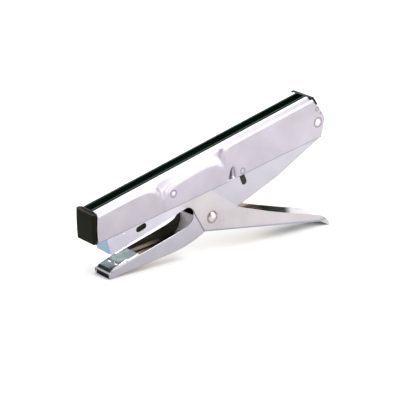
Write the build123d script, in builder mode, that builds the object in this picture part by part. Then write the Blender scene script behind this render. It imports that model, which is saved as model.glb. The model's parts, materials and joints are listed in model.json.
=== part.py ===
"""Plier stapler: a hand-held, all-metal stapler that is squeezed like a pair of pliers.

A long inverted-U cover carries the driver blade and hinges at its rear end on a crossing frame,
whose front half is the lower jaw with the anvil.  The magazine hinges on the same rear rivets.
A channel-shaped handle turns on the main rivet and pulls the cover down through a cross pin.

Side profiles are drawn in the stapler's own side plane: u runs rearwards along the cover from its
front corner, v runs up square to that, w is the distance from the middle.
The magazine's parts have a side plane of their own, (s, h), tilted nose down.
The stapler is modelled as it stands on a table, on the tip of the jaw and the end of the handle,
so the side plane is pitched rear end up.  World +X points rearwards and +Z up.  Millimetres.
"""

from build123d import *
from math import acos, atan2, cos, degrees, hypot, radians, sin
import os

os.makedirs("parts", exist_ok=True)

# --------------------------------------------------------------------------- driving dimensions
COVER_WIDTH = 18.6
SHEET = 0.7                      # pressed steel of the cover, frame and handle
MAG_SHEET = 0.5                  # thinner steel of the magazine, its core and the nose plate
STAPLE_CROWN = 12.7              # outside width of a standard office staple
STAPLE_LEG = 6.0
STAPLE_WIRE = 0.5
GAP = 0.1                        # gap between neighbouring sheets
RUNNING = 0.05                   # radial running clearance of every hinge

REAR_PIVOT = (175.3, -19.3)      # hinge of cover and magazine, in (u, v)
MAIN_PIVOT = (81.8, -44.0)       # hinge of the handle
CROSS_PIN = (55.8, -14.3)        # pin in the cover that the handle pulls down
STOP_PIN = (110.0, -24.0)        # studs in the cover that run in the frame's slots
CAP_PIN = (176.0, -10.2)         # hinge of the rear cap
JAW_TIP = (0.7, -48.3)           # lowest corner of the lower jaw
HANDLE_TIP = (172.3, -94.4)      # lowest corner of the handle's curled end
HANDLE_LIP = (173.4, -93.4)      # rearmost corner of the handle's curled end
COVER_TOP = -1.8                 # v of the cover's top
CAP_NOSE = (-2.7, COVER_TOP)     # top front corner of the front cap

MAG_TILT = 3.04                  # the magazine's nose droops by this angle at rest, degrees
MAG_PIVOT = (170.8, 4.95)        # the rear pivot in the magazine's own (s, h)
HEAD_TRAVEL = 5.6                # closing angles of cover and handle, degrees
HANDLE_TRAVEL = 22.0

CROSS_PIN_R = 1.5
STOP_PIN_R = 1.7
CAP_PIN_R = 1.0
MAIN_RIVET_R = 2.5
REAR_RIVET_R = 2.0
BUSH_R = 3.6

# --------------------------------------------------------------------------- derived dimensions
COVER_OUT = COVER_WIDTH / 2
COVER_IN = COVER_OUT - SHEET
HANDLE_OUT = COVER_IN - GAP
HANDLE_IN = HANDLE_OUT - SHEET
FRAME_OUT = HANDLE_IN - GAP
FRAME_IN = FRAME_OUT - SHEET
MAG_OUT = FRAME_IN - GAP
MAG_IN = MAG_OUT - MAG_SHEET
STAPLE_OUT = STAPLE_CROWN / 2
CORE_OUT = STAPLE_OUT - STAPLE_WIRE - 0.15
CORE_IN = CORE_OUT - MAG_SHEET
LEG_FOOT = MAG_SHEET + 0.1                       # heights above the magazine's bottom
CROWN_TOP = LEG_FOOT + STAPLE_LEG + STAPLE_WIRE
CORE_TOP = CROWN_TOP - STAPLE_WIRE - 0.15
WALL_TOP = 8.6

PITCH = atan2(JAW_TIP[1] - HANDLE_TIP[1], HANDLE_TIP[0] - JAW_TIP[0])


def world_x(point):
    return point[0] * cos(PITCH) - point[1] * sin(PITCH)


def world_z(point):
    return point[0] * sin(PITCH) + point[1] * cos(PITCH)


MIDDLE_X = (world_x(CAP_NOSE) + world_x(HANDLE_LIP)) / 2
SIDE = Plane(
    origin=(-MIDDLE_X, 0, -world_z(JAW_TIP)),
    x_dir=(cos(PITCH), 0, sin(PITCH)),
    z_dir=(0, -1, 0),
)


# --------------------------------------------------------------------------- helpers
def rotated(point, centre, angle):
    """A side-plane point turned about a centre, anticlockwise in degrees."""
    du, dv = point[0] - centre[0], point[1] - centre[1]
    c, s = cos(radians(angle)), sin(radians(angle))
    return (centre[0] + c * du - s * dv, centre[1] + s * du + c * dv)


def at(plane, point, w=0.0):
    """The world position of a side-plane point, w towards the near side."""
    return plane.from_local_coords((point[0], point[1], w))


def across(plane, point):
    """The cross-section plane at a side-plane point: x is +Y, y is the side plane's up."""
    return Plane(origin=at(plane, point), x_dir=(0, 1, 0), z_dir=plane.x_dir)


def level(plane, point):
    """The lengthwise plane seen from above at a side-plane point: x is lengthwise, y is +Y."""
    return Plane(origin=at(plane, point), x_dir=plane.x_dir, z_dir=plane.y_dir)


def cross_axis(plane, point):
    return Axis(at(plane, point), plane.z_dir)


def bent_sheet(points, thickness):
    """The closed outline of a sheet bent along points that run rearwards, thickened downwards."""
    under = []
    for i, (u, v) in enumerate(points):
        before, after = points[max(i - 1, 0)], points[min(i + 1, len(points) - 1)]
        a = atan2(v - before[1], u - before[0]) if i > 0 else atan2(after[1] - v, after[0] - u)
        b = atan2(after[1] - v, after[0] - u) if i < len(points) - 1 else a
        reach = thickness / cos((b - a) / 2)
        under.append((u + reach * sin((a + b) / 2), v - reach * cos((a + b) / 2)))
    return [*points, *reversed(under)]


def outline(*points):
    """A closed polygon, at its own coordinates, in the sketch being built."""
    Polygon(*points, align=None)


def long_edges(part, plane, w, count):
    """The lengthwise edges of a channel at +-w, the lowest ones first."""
    edges = part.edges().filter_by(Axis(plane.origin, plane.x_dir), tolerance=9)
    outer = [e for e in edges if abs(abs(e.center().Y) - w) < 0.02 and e.length > 20]
    return sorted(outer, key=lambda e: plane.to_local_coords(e.center()).Y)[:count]


def rivet(plane, point, shank_r, shank_end, head_r, head_h):
    """A rivet through the whole width with a domed head at each end, turned about its axis."""
    ball = (head_r**2 + head_h**2) / (2 * head_h)
    half = atan2(head_r, ball - head_h) / 2
    crown = shank_end + head_h
    with BuildPart() as pin:
        with BuildSketch(Plane(origin=at(plane, point), x_dir=plane.z_dir, z_dir=plane.x_dir)):
            with BuildLine():
                dome = (crown - ball + ball * cos(half), ball * sin(half))
                ThreePointArc((crown, 0), dome, (shank_end, head_r))
                Polyline((shank_end, head_r), (shank_end, shank_r), (0, shank_r), (0, 0), (crown, 0))
            make_face()
        revolve(axis=cross_axis(plane, point))
        mirror(about=Plane.XZ)
    return pin


def save(part, name):
    part.part.label = name
    export_step(part.part, f"parts/{name}.step")


# The magazine's side plane: s runs rearwards from its front, h up from its bottom.
nose_flat = (REAR_PIVOT[0] - MAG_PIVOT[0], REAR_PIVOT[1] - MAG_PIVOT[1])
NOSE = rotated(nose_flat, REAR_PIVOT, MAG_TILT)
MAG = Plane(
    origin=at(SIDE, NOSE),
    x_dir=(cos(PITCH + radians(MAG_TILT)), 0, sin(PITCH + radians(MAG_TILT))),
    z_dir=(0, -1, 0),
)


# =========================================================================== frame: the root body
# One pressed sheet: the lower jaw is a channel, and behind it the two sides go on as
# triangular plates up to the rear rivets.
JAW_FLOOR_START = 2.4            # the anvil's skirt stands in front of the floor
JAW_FLOOR_END = 75.0
FLOOR_SLOPE = -0.117             # the jaw's straight underside falls away from its tip
BELLY_START = 46.0
ANVIL_RIVETS = (31.5, 37.5)      # u of the two rivets in the jaw's floor
ANVIL_RIVET_R = 1.0
STOP_SLOT_WIDTH = 4.0
STOP_SLOT_DROP = 8.0             # degrees that the stop slot covers below the stud at rest
FRAME_LOW = (176.9, -31.6)       # lowest rear corner of the triangular plates


def jaw_under(u):
    """The height of the jaw's straight underside."""
    return JAW_TIP[1] + FLOOR_SLOPE * (u - JAW_TIP[0])


def jaw_floor(u):
    """The height of the jaw's floor, the inside of that sheet."""
    return jaw_under(u) + SHEET / cos(atan2(FLOOR_SLOPE, 1))


boss_top = (REAR_PIVOT[0] - 1.6, REAR_PIVOT[1] + 6.4)
boss_mid = (REAR_PIVOT[0] + 2.8, REAR_PIVOT[1] + 4.3)
boss_rear = (REAR_PIVOT[0] + 4.4, REAR_PIVOT[1])
belly = (BELLY_START, jaw_under(BELLY_START))
belly_mid = (61.5, -54.2)
heel = (JAW_FLOOR_END, -52.1)

with BuildPart() as frame_channel:
    with BuildSketch(SIDE):
        with BuildLine():
            Polyline(JAW_TIP, (0.1, -46.8), (1.0, -44.6), (6.6, -43.5), (24.0, -43.0), (50.0, -42.7))
            Spline((50.0, -42.7), (62.6, -41.7), (68.2, -38.6), (69.3, -33.5), (66.7, -30.3))
            Polyline((66.7, -30.3), (62.0, -27.6), (75.0, -26.4), (105.0, -20.0), boss_top)
            ThreePointArc(boss_top, boss_mid, boss_rear)
            Polyline(boss_rear, FRAME_LOW, (134.3, -42.9), (105.4, -47.2), (84.0, -50.2), heel)
            ThreePointArc(heel, belly_mid, belly)
            Line(belly, JAW_TIP)
        make_face()
    extrude(amount=FRAME_OUT, both=True)
    fillet(long_edges(frame_channel, SIDE, FRAME_OUT, 2), SHEET + 0.3)
    # hollow between the walls: over the floor, behind it, and where the anvil's skirt sits
    with BuildSketch(SIDE):
        with BuildLine():
            floor_rear = (heel[0] - 0.3, heel[1] + SHEET)
            floor_belly = (belly[0], jaw_floor(belly[0]))
            ThreePointArc(floor_rear, (belly_mid[0], belly_mid[1] + SHEET), floor_belly)
            Polyline(
                floor_belly,
                (JAW_FLOOR_START, jaw_floor(JAW_FLOOR_START)),
                (JAW_FLOOR_START, -60.0),
                (-5.0, -60.0),
                (-5.0, 0.0),
                (190.0, 0.0),
                (190.0, -60.0),
                (heel[0] + 0.4, -60.0),
                floor_rear,
            )
        make_face()
    extrude(amount=FRAME_IN, both=True, mode=Mode.SUBTRACT)
    # the floor's rear end curves up between the walls and stops the paper
    with BuildSketch(SIDE):
        with BuildLine():
            ThreePointArc((56.0, -53.9), (66.4, -48.6), (70.2, -38.0))
            Line((70.2, -38.0), (69.4, -38.0))
            ThreePointArc((69.4, -38.0), (65.8, -48.0), (56.0, -53.1))
            Line((56.0, -53.1), (56.0, -53.9))
        make_face()
    extrude(amount=FRAME_IN, both=True)
    with BuildSketch(SIDE):
        with Locations(MAIN_PIVOT):
            Circle(MAIN_RIVET_R)
        with Locations(REAR_PIVOT):
            Circle(REAR_RIVET_R)
        with BuildLine(mode=Mode.PRIVATE) as stop_path:
            ThreePointArc(
                rotated(STOP_PIN, REAR_PIVOT, -0.3),
                rotated(STOP_PIN, REAR_PIVOT, STOP_SLOT_DROP / 2),
                rotated(STOP_PIN, REAR_PIVOT, STOP_SLOT_DROP),
            )
        SlotArc(stop_path.edge(), STOP_SLOT_WIDTH)
    extrude(amount=FRAME_OUT + 1, both=True, mode=Mode.SUBTRACT)
    with BuildSketch(level(SIDE, (0, -60.0))):
        with Locations(*[(u, 0) for u in ANVIL_RIVETS]):
            Circle(ANVIL_RIVET_R)
    extrude(amount=12, mode=Mode.SUBTRACT)
save(frame_channel, "frame_channel")

# The anvil: a hard plated pressing that sits between the jaw's walls.  Its skirt closes the
# jaw's front, its pad has the two grooves that clinch the staple's legs, and its tail lies on
# the jaw's floor.
ANVIL_SHEET = 1.0
ANVIL_W = FRAME_IN - 0.05
GROOVE_U = 9.2
tail_start, tail_end = 26.4, 41.0
TAIL_LIFT = ANVIL_SHEET + 0.01

with BuildPart() as anvil_plate:
    with BuildSketch(SIDE):
        outline(
            *bent_sheet(
                [
                    (0.35, -48.0),
                    (1.1, -44.9),
                    (4.4, -42.75),
                    (15.2, -41.9),
                    (17.0, -42.8),
                    (24.2, -42.2),
                    (25.4, -43.6),
                    (tail_start, jaw_floor(tail_start) + TAIL_LIFT),
                    (tail_end, jaw_floor(tail_end) + TAIL_LIFT),
                ],
                ANVIL_SHEET,
            )
        )
    extrude(amount=ANVIL_W, both=True)
    # a thick pad under the grooves
    with BuildSketch(SIDE):
        outline((4.6, -43.2), (15.0, -42.4), (15.0, -45.0), (5.6, -45.6))
    extrude(amount=ANVIL_W, both=True)
    with BuildSketch(level(SIDE, (GROOVE_U, -40.0))):
        with Locations((0, 3.2), (0, -3.2)):
            SlotOverall(5.4, 2.0, rotation=90)
    extrude(amount=-3.2, mode=Mode.SUBTRACT)
    # the tail is narrower than the pad
    with BuildSketch(level(SIDE, (tail_start + 1.5, -30.0))):
        with Locations((10, 5.2), (10, -5.2)):
            Rectangle(20, 4.4)
    extrude(amount=-40, mode=Mode.SUBTRACT)
    with BuildSketch(level(SIDE, (0, -60.0))):
        with Locations(*[(u, 0) for u in ANVIL_RIVETS]):
            Circle(ANVIL_RIVET_R)
    extrude(amount=14, mode=Mode.SUBTRACT)
save(anvil_plate, "anvil_plate")

# Two rivets hold the anvil's tail on the floor.
with BuildPart() as anvil_rivets:
    for u in ANVIL_RIVETS:
        head_foot = jaw_floor(u) + ANVIL_SHEET + 0.2
        with BuildSketch(level(SIDE, (u, jaw_under(u)))):
            Circle(ANVIL_RIVET_R)
        extrude(amount=head_foot - jaw_under(u))
        with BuildSketch(level(SIDE, (u, head_foot))):
            Circle(1.7)
        extrude(amount=0.6, taper=30)
save(anvil_rivets, "anvil_rivets")

main_rivet = rivet(SIDE, MAIN_PIVOT, MAIN_RIVET_R, HANDLE_OUT + RUNNING, 3.6, 1.5)
save(main_rivet, "main_rivet")

with BuildPart() as pivot_bush:
    with BuildSketch(Plane(origin=at(SIDE, MAIN_PIVOT), x_dir=SIDE.x_dir, z_dir=SIDE.z_dir)):
        Circle(BUSH_R)
        Circle(MAIN_RIVET_R, mode=Mode.SUBTRACT)
    extrude(amount=FRAME_IN, both=True)
save(pivot_bush, "pivot_bush")

# Two short rear rivets leave the magazine's inside free.
REAR_HEAD_IN = MAG_IN - RUNNING
with BuildPart() as rear_rivets:
    head_r, head_h = 3.0, 1.3
    ball = (head_r**2 + head_h**2) / (2 * head_h)
    half = atan2(head_r, ball - head_h) / 2
    crown = COVER_OUT + RUNNING + head_h
    with BuildSketch(Plane(origin=at(SIDE, REAR_PIVOT), x_dir=SIDE.z_dir, z_dir=SIDE.x_dir)):
        with BuildLine():
            dome = (crown - ball + ball * cos(half), ball * sin(half))
            ThreePointArc((crown, 0), dome, (COVER_OUT + RUNNING, head_r))
            Polyline(
                (COVER_OUT + RUNNING, head_r),
                (COVER_OUT + RUNNING, REAR_RIVET_R),
                (REAR_HEAD_IN, REAR_RIVET_R),
                (REAR_HEAD_IN, 2.8),
                (REAR_HEAD_IN - 0.6, 2.8),
                (REAR_HEAD_IN - 0.6, 0),
                (crown, 0),
            )
        make_face()
    revolve(axis=cross_axis(SIDE, REAR_PIVOT))
    mirror(about=Plane.XZ)
save(rear_rivets, "rear_rivets")

# The return spring is wound around the bush; one leg presses on the jaw's floor and the other
# on the handle.  Each leg leaves its end of the coil along the tangent.
SPRING_WIRE_R = 0.65
SPRING_R = BUSH_R + SPRING_WIRE_R + 0.35
SPRING_HALF = 3.9
SPRING_FULL_TURNS = 5
FLOOR_LEG = (73.4, -50.4)
HANDLE_LEG = (110.0, -64.1)


def leg_angle(foot, side):
    """Where around the coil, in degrees, the tangent to a leg's foot leaves it."""
    du, dv = foot[0] - MAIN_PIVOT[0], foot[1] - MAIN_PIVOT[1]
    return degrees(atan2(dv, du) + side * acos(SPRING_R / hypot(du, dv)))


floor_angle = leg_angle(FLOOR_LEG, 1) % 360
handle_angle = leg_angle(HANDLE_LEG, -1) % 360
spring_turns = SPRING_FULL_TURNS + ((handle_angle - floor_angle) % 360) / 360
raw_path = Helix(
    pitch=2 * SPRING_HALF / spring_turns,
    height=2 * SPRING_HALF,
    radius=SPRING_R,
    center=at(SIDE, MAIN_PIVOT, -SPRING_HALF),
    direction=SIDE.z_dir,
)
raw_start = SIDE.to_local_coords(raw_path @ 0)
raw_angle = degrees(atan2(raw_start.Y - MAIN_PIVOT[1], raw_start.X - MAIN_PIVOT[0]))
spring_path = raw_path.rotate(cross_axis(SIDE, MAIN_PIVOT), floor_angle - raw_angle)
with BuildPart() as return_spring:
    with BuildLine():
        add(spring_path)
    with BuildSketch(Plane(origin=spring_path @ 0, z_dir=spring_path % 0)):
        Circle(SPRING_WIRE_R)
    sweep(is_frenet=True)
    for end, leg in ((0, FLOOR_LEG), (1, HANDLE_LEG)):
        start = spring_path @ end
        stop = at(SIDE, leg, SIDE.to_local_coords(start).Z)
        with BuildSketch(Plane(origin=start, z_dir=stop - start)):
            Circle(SPRING_WIRE_R)
        extrude(amount=(stop - start).length)
save(return_spring, "return_spring")


# =========================================================================== head: cover, driver
CORNER_R = 2.4
COVER_FRONT_TOP = (0.2, COVER_TOP)
COVER_FRONT_MID = (-2.2, -10.2)
COVER_FRONT_LOW = (-3.7, -20.0)
COVER_REAR_TOP = (173.4, COVER_TOP)
CAP_SEAT = ((173.9, -2.7), (176.3, -8.2), (177.6, -8.2))
REAR_BEND = ((180.7, -16.2), (181.3, -18.0), (181.0, -20.0))
COVER_REAR_LOW = (176.4, -30.3)
COVER_KNEES = ((140.0, -27.9), (98.3, -26.3))
CAP_EAR_R = 2.0                  # ear of the cover around the rear cap's pin
CAP_SWEEP_R = 3.7                # what the rear cap's lower corner sweeps
STRIP_PEGS = ((20.0, 0.0), (84.0, 0.0), (148.0, 0.0))
PEG_R = 1.4

with BuildPart() as top_cover:
    with BuildSketch(SIDE):
        with BuildLine():
            Polyline(COVER_FRONT_TOP, COVER_REAR_TOP, *CAP_SEAT, REAR_BEND[0])
            ThreePointArc(*REAR_BEND)
            Polyline(REAR_BEND[2], COVER_REAR_LOW, *COVER_KNEES, COVER_FRONT_LOW)
            ThreePointArc(COVER_FRONT_LOW, COVER_FRONT_MID, COVER_FRONT_TOP)
        make_face()
        # room for the rear cap's lower corner as it swings, around the pin's ear
        with BuildSketch(mode=Mode.SUBTRACT):
            with Locations(CAP_PIN):
                Circle(CAP_SWEEP_R)
                Circle(CAP_EAR_R, mode=Mode.SUBTRACT)
            with Locations((CAP_PIN[0] + 5.0, CAP_PIN[1] + 3.2)):
                Rectangle(10.0, 10.0, mode=Mode.INTERSECT)
    extrude(amount=COVER_OUT, both=True)
    top_long = top_cover.edges().filter_by(Axis(SIDE.origin, SIDE.x_dir))
    top_long = [e for e in top_long if e.length > 100]
    fillet(top_long, CORNER_R)
    with BuildSketch(across(SIDE, (-20.0, 0))):
        with Locations((0, COVER_TOP - SHEET)):
            Rectangle(2 * COVER_IN, 60, align=(Align.CENTER, Align.MAX))
        fillet(vertices().group_by(Axis.Y)[-1], CORNER_R - SHEET)
    extrude(amount=240, mode=Mode.SUBTRACT)
    with BuildSketch(SIDE):
        with Locations(REAR_PIVOT):
            Circle(REAR_RIVET_R + RUNNING)
        with Locations(CROSS_PIN):
            Circle(CROSS_PIN_R)
        with Locations(STOP_PIN):
            Circle(STOP_PIN_R)
        with Locations(CAP_PIN):
            Circle(CAP_PIN_R)
    extrude(amount=COVER_OUT + 1, both=True, mode=Mode.SUBTRACT)
    with BuildSketch(level(SIDE, (0, COVER_TOP - 2 * SHEET))):
        with Locations(*STRIP_PEGS):
            Circle(PEG_R)
    extrude(amount=3 * SHEET, mode=Mode.SUBTRACT)
save(top_cover, "top_cover")

# A plastic strip lies on the cover's top, held by three pegs, from the front cap to the rear cap.
STRIP_HALF = 5.1
STRIP_H = 0.9
PEG_LENGTH = 1.6
STRIP_START, STRIP_END = 0.3, 172.6
with BuildPart() as top_strip:
    with BuildSketch(across(SIDE, (STRIP_START, COVER_TOP))):
        outline(
            (-STRIP_HALF, 0),
            (STRIP_HALF, 0),
            (STRIP_HALF - 0.2, 0.5),
            (STRIP_HALF - 1.0, STRIP_H),
            (1.0 - STRIP_HALF, STRIP_H),
            (0.2 - STRIP_HALF, 0.5),
        )
    extrude(amount=STRIP_END - STRIP_START)
    with BuildSketch(level(SIDE, (0, COVER_TOP))):
        with Locations(*STRIP_PEGS):
            Circle(PEG_R)
    extrude(amount=-PEG_LENGTH)
save(top_strip, "top_strip")

# The front cap closes the cover's front and plugs between its walls.
CAP_W = COVER_OUT - 0.25
with BuildPart() as front_cap:
    with BuildSketch(SIDE):
        with BuildLine():
            Line(CAP_NOSE, (0.1, COVER_TOP))
            ThreePointArc((0.1, COVER_TOP), (COVER_FRONT_MID[0] - 0.1, COVER_FRONT_MID[1]), (-3.8, -20.0))
            Polyline((-3.8, -20.0), (-3.9, -20.4), (-6.2, -20.3))
            ThreePointArc((-6.2, -20.3), (-4.7, -10.8), CAP_NOSE)
        make_face()
    extrude(amount=CAP_W, both=True)
    corners = front_cap.edges().filter_by(lambda e: e.length > 18 and abs(e.center().Y) > 8)
    fillet(corners.sort_by(Axis(SIDE.origin, SIDE.x_dir))[:2], 1.6)
    with BuildSketch(SIDE.offset(COVER_IN - SHEET - 0.05)):
        with BuildLine():
            Polyline((-3.9, -19.4), (1.2, -19.0), (3.0, -4.6), (-1.4, -4.6))
            ThreePointArc((-1.4, -4.6), (-2.7, -11.4), (-3.9, -19.4))
        make_face()
    extrude(amount=SHEET)
    mirror(about=Plane.XZ)
save(front_cap, "front_cap")

# The driver blade stands on edge behind the nose plate and is riveted to a holder block.
BLADE_S = (1.35, 1.9)            # far enough behind the nose plate to swing down past it
BLADE_FOOT = CROWN_TOP + 0.8
BLADE_TOP = 30.4
HOLDER = (BLADE_S[1], 12.0)
blade_w = MAG_IN - 0.1
RIVET_ROWS = (24.0, 28.2)
with BuildPart() as driver_blade:
    with BuildSketch(MAG):
        outline(
            (BLADE_S[0], BLADE_FOOT),
            (BLADE_S[1], BLADE_FOOT),
            (BLADE_S[1], BLADE_TOP),
            (BLADE_S[0], BLADE_TOP),
        )
    extrude(amount=blade_w, both=True)
    with BuildSketch(across(MAG, (0, 0))):
        with Locations(*[(0, h) for h in RIVET_ROWS]):
            Circle(1.1)
    extrude(amount=4, mode=Mode.SUBTRACT)
save(driver_blade, "driver_blade")

with BuildPart() as driver_holder:
    with BuildSketch(MAG):
        outline((HOLDER[0], 21.5), (HOLDER[1], 24.0), (HOLDER[1], 32.0), (HOLDER[0], 32.2))
    extrude(amount=5.6, both=True)
    with BuildSketch(across(MAG, (0, 0))):
        with Locations(*[(0, h) for h in RIVET_ROWS]):
            Circle(1.1)
    extrude(amount=HOLDER[0] + 4, mode=Mode.SUBTRACT)
    # flush with the underside of the cover's top
    with BuildSketch(level(SIDE, (0, COVER_TOP - SHEET))):
        Rectangle(60, 20)
    extrude(amount=4, mode=Mode.SUBTRACT)
save(driver_holder, "driver_holder")

with BuildPart() as driver_rivets:
    for h in RIVET_ROWS:
        with BuildSketch(across(MAG, (BLADE_S[0], h))):
            Circle(1.1)
        extrude(amount=HOLDER[0] + 4 - BLADE_S[0])
save(driver_rivets, "driver_rivets")

cross_pin = rivet(SIDE, CROSS_PIN, CROSS_PIN_R, COVER_OUT, 2.15, 0.9)
save(cross_pin, "cross_pin")

# Short tubular studs of the cover that run in the frame's stop slots.
with BuildPart() as stop_studs:
    with BuildSketch(SIDE.offset(FRAME_IN + 0.05)):
        with Locations(STOP_PIN):
            Circle(STOP_PIN_R)
    extrude(amount=COVER_OUT + 0.25 - FRAME_IN - 0.05)
    with BuildSketch(SIDE.offset(COVER_OUT - 0.6)):
        with Locations(STOP_PIN):
            Circle(0.9)
    extrude(amount=1.0, mode=Mode.SUBTRACT)
    mirror(about=Plane.XZ)
save(stop_studs, "stop_studs")

with BuildPart() as rear_cap_pin:
    with BuildSketch(SIDE):
        with Locations(CAP_PIN):
            Circle(CAP_PIN_R)
    extrude(amount=COVER_OUT + 0.2, both=True)
save(rear_cap_pin, "rear_cap_pin")

# A leaf spring under the cover's top presses the magazine down on the work first.
SEAT_TOP = 10.6                  # h of the spring seat on the magazine
LEAF = 0.45
leaf_foot = SIDE.to_local_coords(at(MAG, (18.0, SEAT_TOP + LEAF + 0.05)))
leaf_front = SIDE.to_local_coords(at(MAG, (14.5, SEAT_TOP + LEAF + 0.9)))
with BuildPart() as magazine_spring:
    with BuildSketch(SIDE):
        outline(
            *bent_sheet(
                [
                    (leaf_front.X, leaf_front.Y),
                    (leaf_foot.X, leaf_foot.Y),
                    (27.0, -18.0),
                    (36.0, -8.0),
                    (41.0, COVER_TOP - 2.4),
                    (44.0, COVER_TOP - SHEET),
                    (51.0, COVER_TOP - SHEET),
                ],
                LEAF,
            )
        )
    extrude(amount=3.0, both=True)
save(magazine_spring, "magazine_spring")

# =========================================================================== rear cap
# A loading gate: its wall closes the cover's rear end, and its lip lies on the cover's top.
EAR_THICK = 1.0
with BuildPart() as rear_cap:
    with BuildSketch(SIDE):
        outline(
            (STRIP_END + 0.15, COVER_TOP + 0.05),
            (STRIP_END + 0.15, COVER_TOP + 0.8),
            (175.0, COVER_TOP + 0.7),
            (175.6, COVER_TOP + 0.2),
            (177.8, -7.3),
            (176.5, -8.0),
            (174.1, -2.6),
            (173.6, COVER_TOP + 0.05),
        )
    extrude(amount=COVER_OUT, both=True)
    with BuildSketch(SIDE.offset(COVER_IN - GAP - EAR_THICK)):
        outline(
            (174.6, -3.0),
            (177.0, -7.6),
            (CAP_PIN[0] + 1.9, CAP_PIN[1]),
            (CAP_PIN[0] + 1.2, CAP_PIN[1] - 1.5),
            (CAP_PIN[0] - 1.2, CAP_PIN[1] - 1.5),
            (CAP_PIN[0] - 2.2, CAP_PIN[1]),
            (173.8, -4.2),
        )
        with Locations(CAP_PIN):
            Circle(CAP_PIN_R + RUNNING, mode=Mode.SUBTRACT)
    extrude(amount=EAR_THICK)
    mirror(about=Plane.XZ)
save(rear_cap, "rear_cap")


# =========================================================================== magazine
MAG_FLOOR_START = 2.05
CORE_START, CORE_END = 2.1, 150.0
REAR_STOP = (150.0, 156.0)
SIGHT_SLOT = (25.3, 5.4)
ROD_H = 3.6
ROD_R = 1.0
MAG_BOSS_R = 4.9
STRIP_LENGTH = 18.0              # part of a strip is left, pushed up behind the nose
PUSHER_TOP = 8.2
PUSHER = (CORE_START + STRIP_LENGTH + 0.1, CORE_START + STRIP_LENGTH + 13.0)

with BuildPart() as magazine_channel:
    with BuildSketch(MAG):
        with BuildLine():
            low = (MAG_PIVOT[0], MAG_PIVOT[1] - MAG_BOSS_R)
            rear = (MAG_PIVOT[0] + MAG_BOSS_R, MAG_PIVOT[1])
            top = (MAG_PIVOT[0], MAG_PIVOT[1] + MAG_BOSS_R)
            Polyline((0.75, 0.0), (160.0, 0.0), low)
            ThreePointArc(low, rear, top)
            Polyline(top, (160.0, WALL_TOP), (43.0, WALL_TOP), (34.0, 12.0), (0.75, 12.0), (0.75, 0.0))
        make_face()
    extrude(amount=MAG_OUT, both=True)
    with BuildSketch(MAG):
        outline((-2, MAG_SHEET), (160.5, MAG_SHEET), (160.5, -4), (190, -4), (190, 20), (-2, 20))
        outline((-2, -4), (MAG_FLOOR_START, -4), (MAG_FLOOR_START, 2), (-2, 2))
    extrude(amount=MAG_IN, both=True, mode=Mode.SUBTRACT)
    with BuildSketch(MAG):
        with Locations(MAG_PIVOT):
            Circle(REAR_RIVET_R + RUNNING)
        with Locations(SIGHT_SLOT):
            SlotOverall(8.0, 3.8)
    extrude(amount=MAG_OUT + 1, both=True, mode=Mode.SUBTRACT)
save(magazine_channel, "magazine_channel")

# The core stands in the magazine; the staples ride on it and the spring lies in it.
with BuildPart() as staple_core:
    with BuildSketch(across(MAG, (CORE_START, MAG_SHEET))):
        Rectangle(2 * CORE_OUT, CORE_TOP - MAG_SHEET, align=(Align.CENTER, Align.MIN))
        with Locations((0, MAG_SHEET)):
            Rectangle(2 * CORE_IN, CORE_TOP, align=(Align.CENTER, Align.MIN), mode=Mode.SUBTRACT)
    extrude(amount=CORE_END - CORE_START)
    with BuildSketch(across(MAG, (CORE_START, 2 * MAG_SHEET))):
        Rectangle(2 * CORE_IN, CORE_TOP - 2 * MAG_SHEET, align=(Align.CENTER, Align.MIN))
        with Locations((0, ROD_H - 2 * MAG_SHEET)):
            Circle(ROD_R, mode=Mode.SUBTRACT)
    extrude(amount=0.8)
save(staple_core, "staple_core")

# The nose plate wraps the magazine's front, with a flange on each side.
with BuildPart() as nose_plate:
    with BuildSketch(MAG):
        outline((0.0, 0.0), (13.4, 0.0), (15.1, 8.0), (5.0, 10.3), (0.7, 12.4), (0.0, 12.4))
    extrude(amount=MAG_OUT + MAG_SHEET, both=True)
    with BuildSketch(MAG):
        outline((0.7, -2), (20, -2), (20, 20), (0.7, 20))
    extrude(amount=MAG_OUT, both=True, mode=Mode.SUBTRACT)
save(nose_plate, "nose_plate")

# The bridge between the magazine's walls that the leaf spring presses on.
with BuildPart() as spring_seat:
    with BuildSketch(across(MAG, (14.0, 0))):
        outline(
            (-MAG_IN, 8.9),
            (-MAG_IN, SEAT_TOP),
            (MAG_IN, SEAT_TOP),
            (MAG_IN, 8.9),
            (MAG_IN - MAG_SHEET, 8.9),
            (MAG_IN - MAG_SHEET, SEAT_TOP - MAG_SHEET),
            (MAG_SHEET - MAG_IN, SEAT_TOP - MAG_SHEET),
            (MAG_SHEET - MAG_IN, 8.9),
        )
    extrude(amount=9.0)
save(spring_seat, "spring_seat")

with BuildPart() as staple_strip:
    with BuildSketch(across(MAG, (CORE_START, LEG_FOOT))):
        Rectangle(STAPLE_CROWN, CROWN_TOP - LEG_FOOT, align=(Align.CENTER, Align.MIN))
        Rectangle(
            STAPLE_CROWN - 2 * STAPLE_WIRE,
            STAPLE_LEG,
            align=(Align.CENTER, Align.MIN),
            mode=Mode.SUBTRACT,
        )
    extrude(amount=STRIP_LENGTH)
save(staple_strip, "staple_strip")

with BuildPart() as guide_rod:
    with BuildSketch(across(MAG, (CORE_START, ROD_H))):
        Circle(ROD_R)
    extrude(amount=REAR_STOP[1] - CORE_START + 1.0)
save(guide_rod, "guide_rod")

with BuildPart() as rear_stop:
    with BuildSketch(across(MAG, (REAR_STOP[0], 0))):
        with Locations((0, MAG_SHEET)):
            Rectangle(2 * MAG_IN, WALL_TOP - MAG_SHEET, align=(Align.CENTER, Align.MIN))
        with Locations((0, ROD_H)):
            Circle(ROD_R, mode=Mode.SUBTRACT)
    extrude(amount=REAR_STOP[1] - REAR_STOP[0])
save(rear_stop, "rear_stop")

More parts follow.
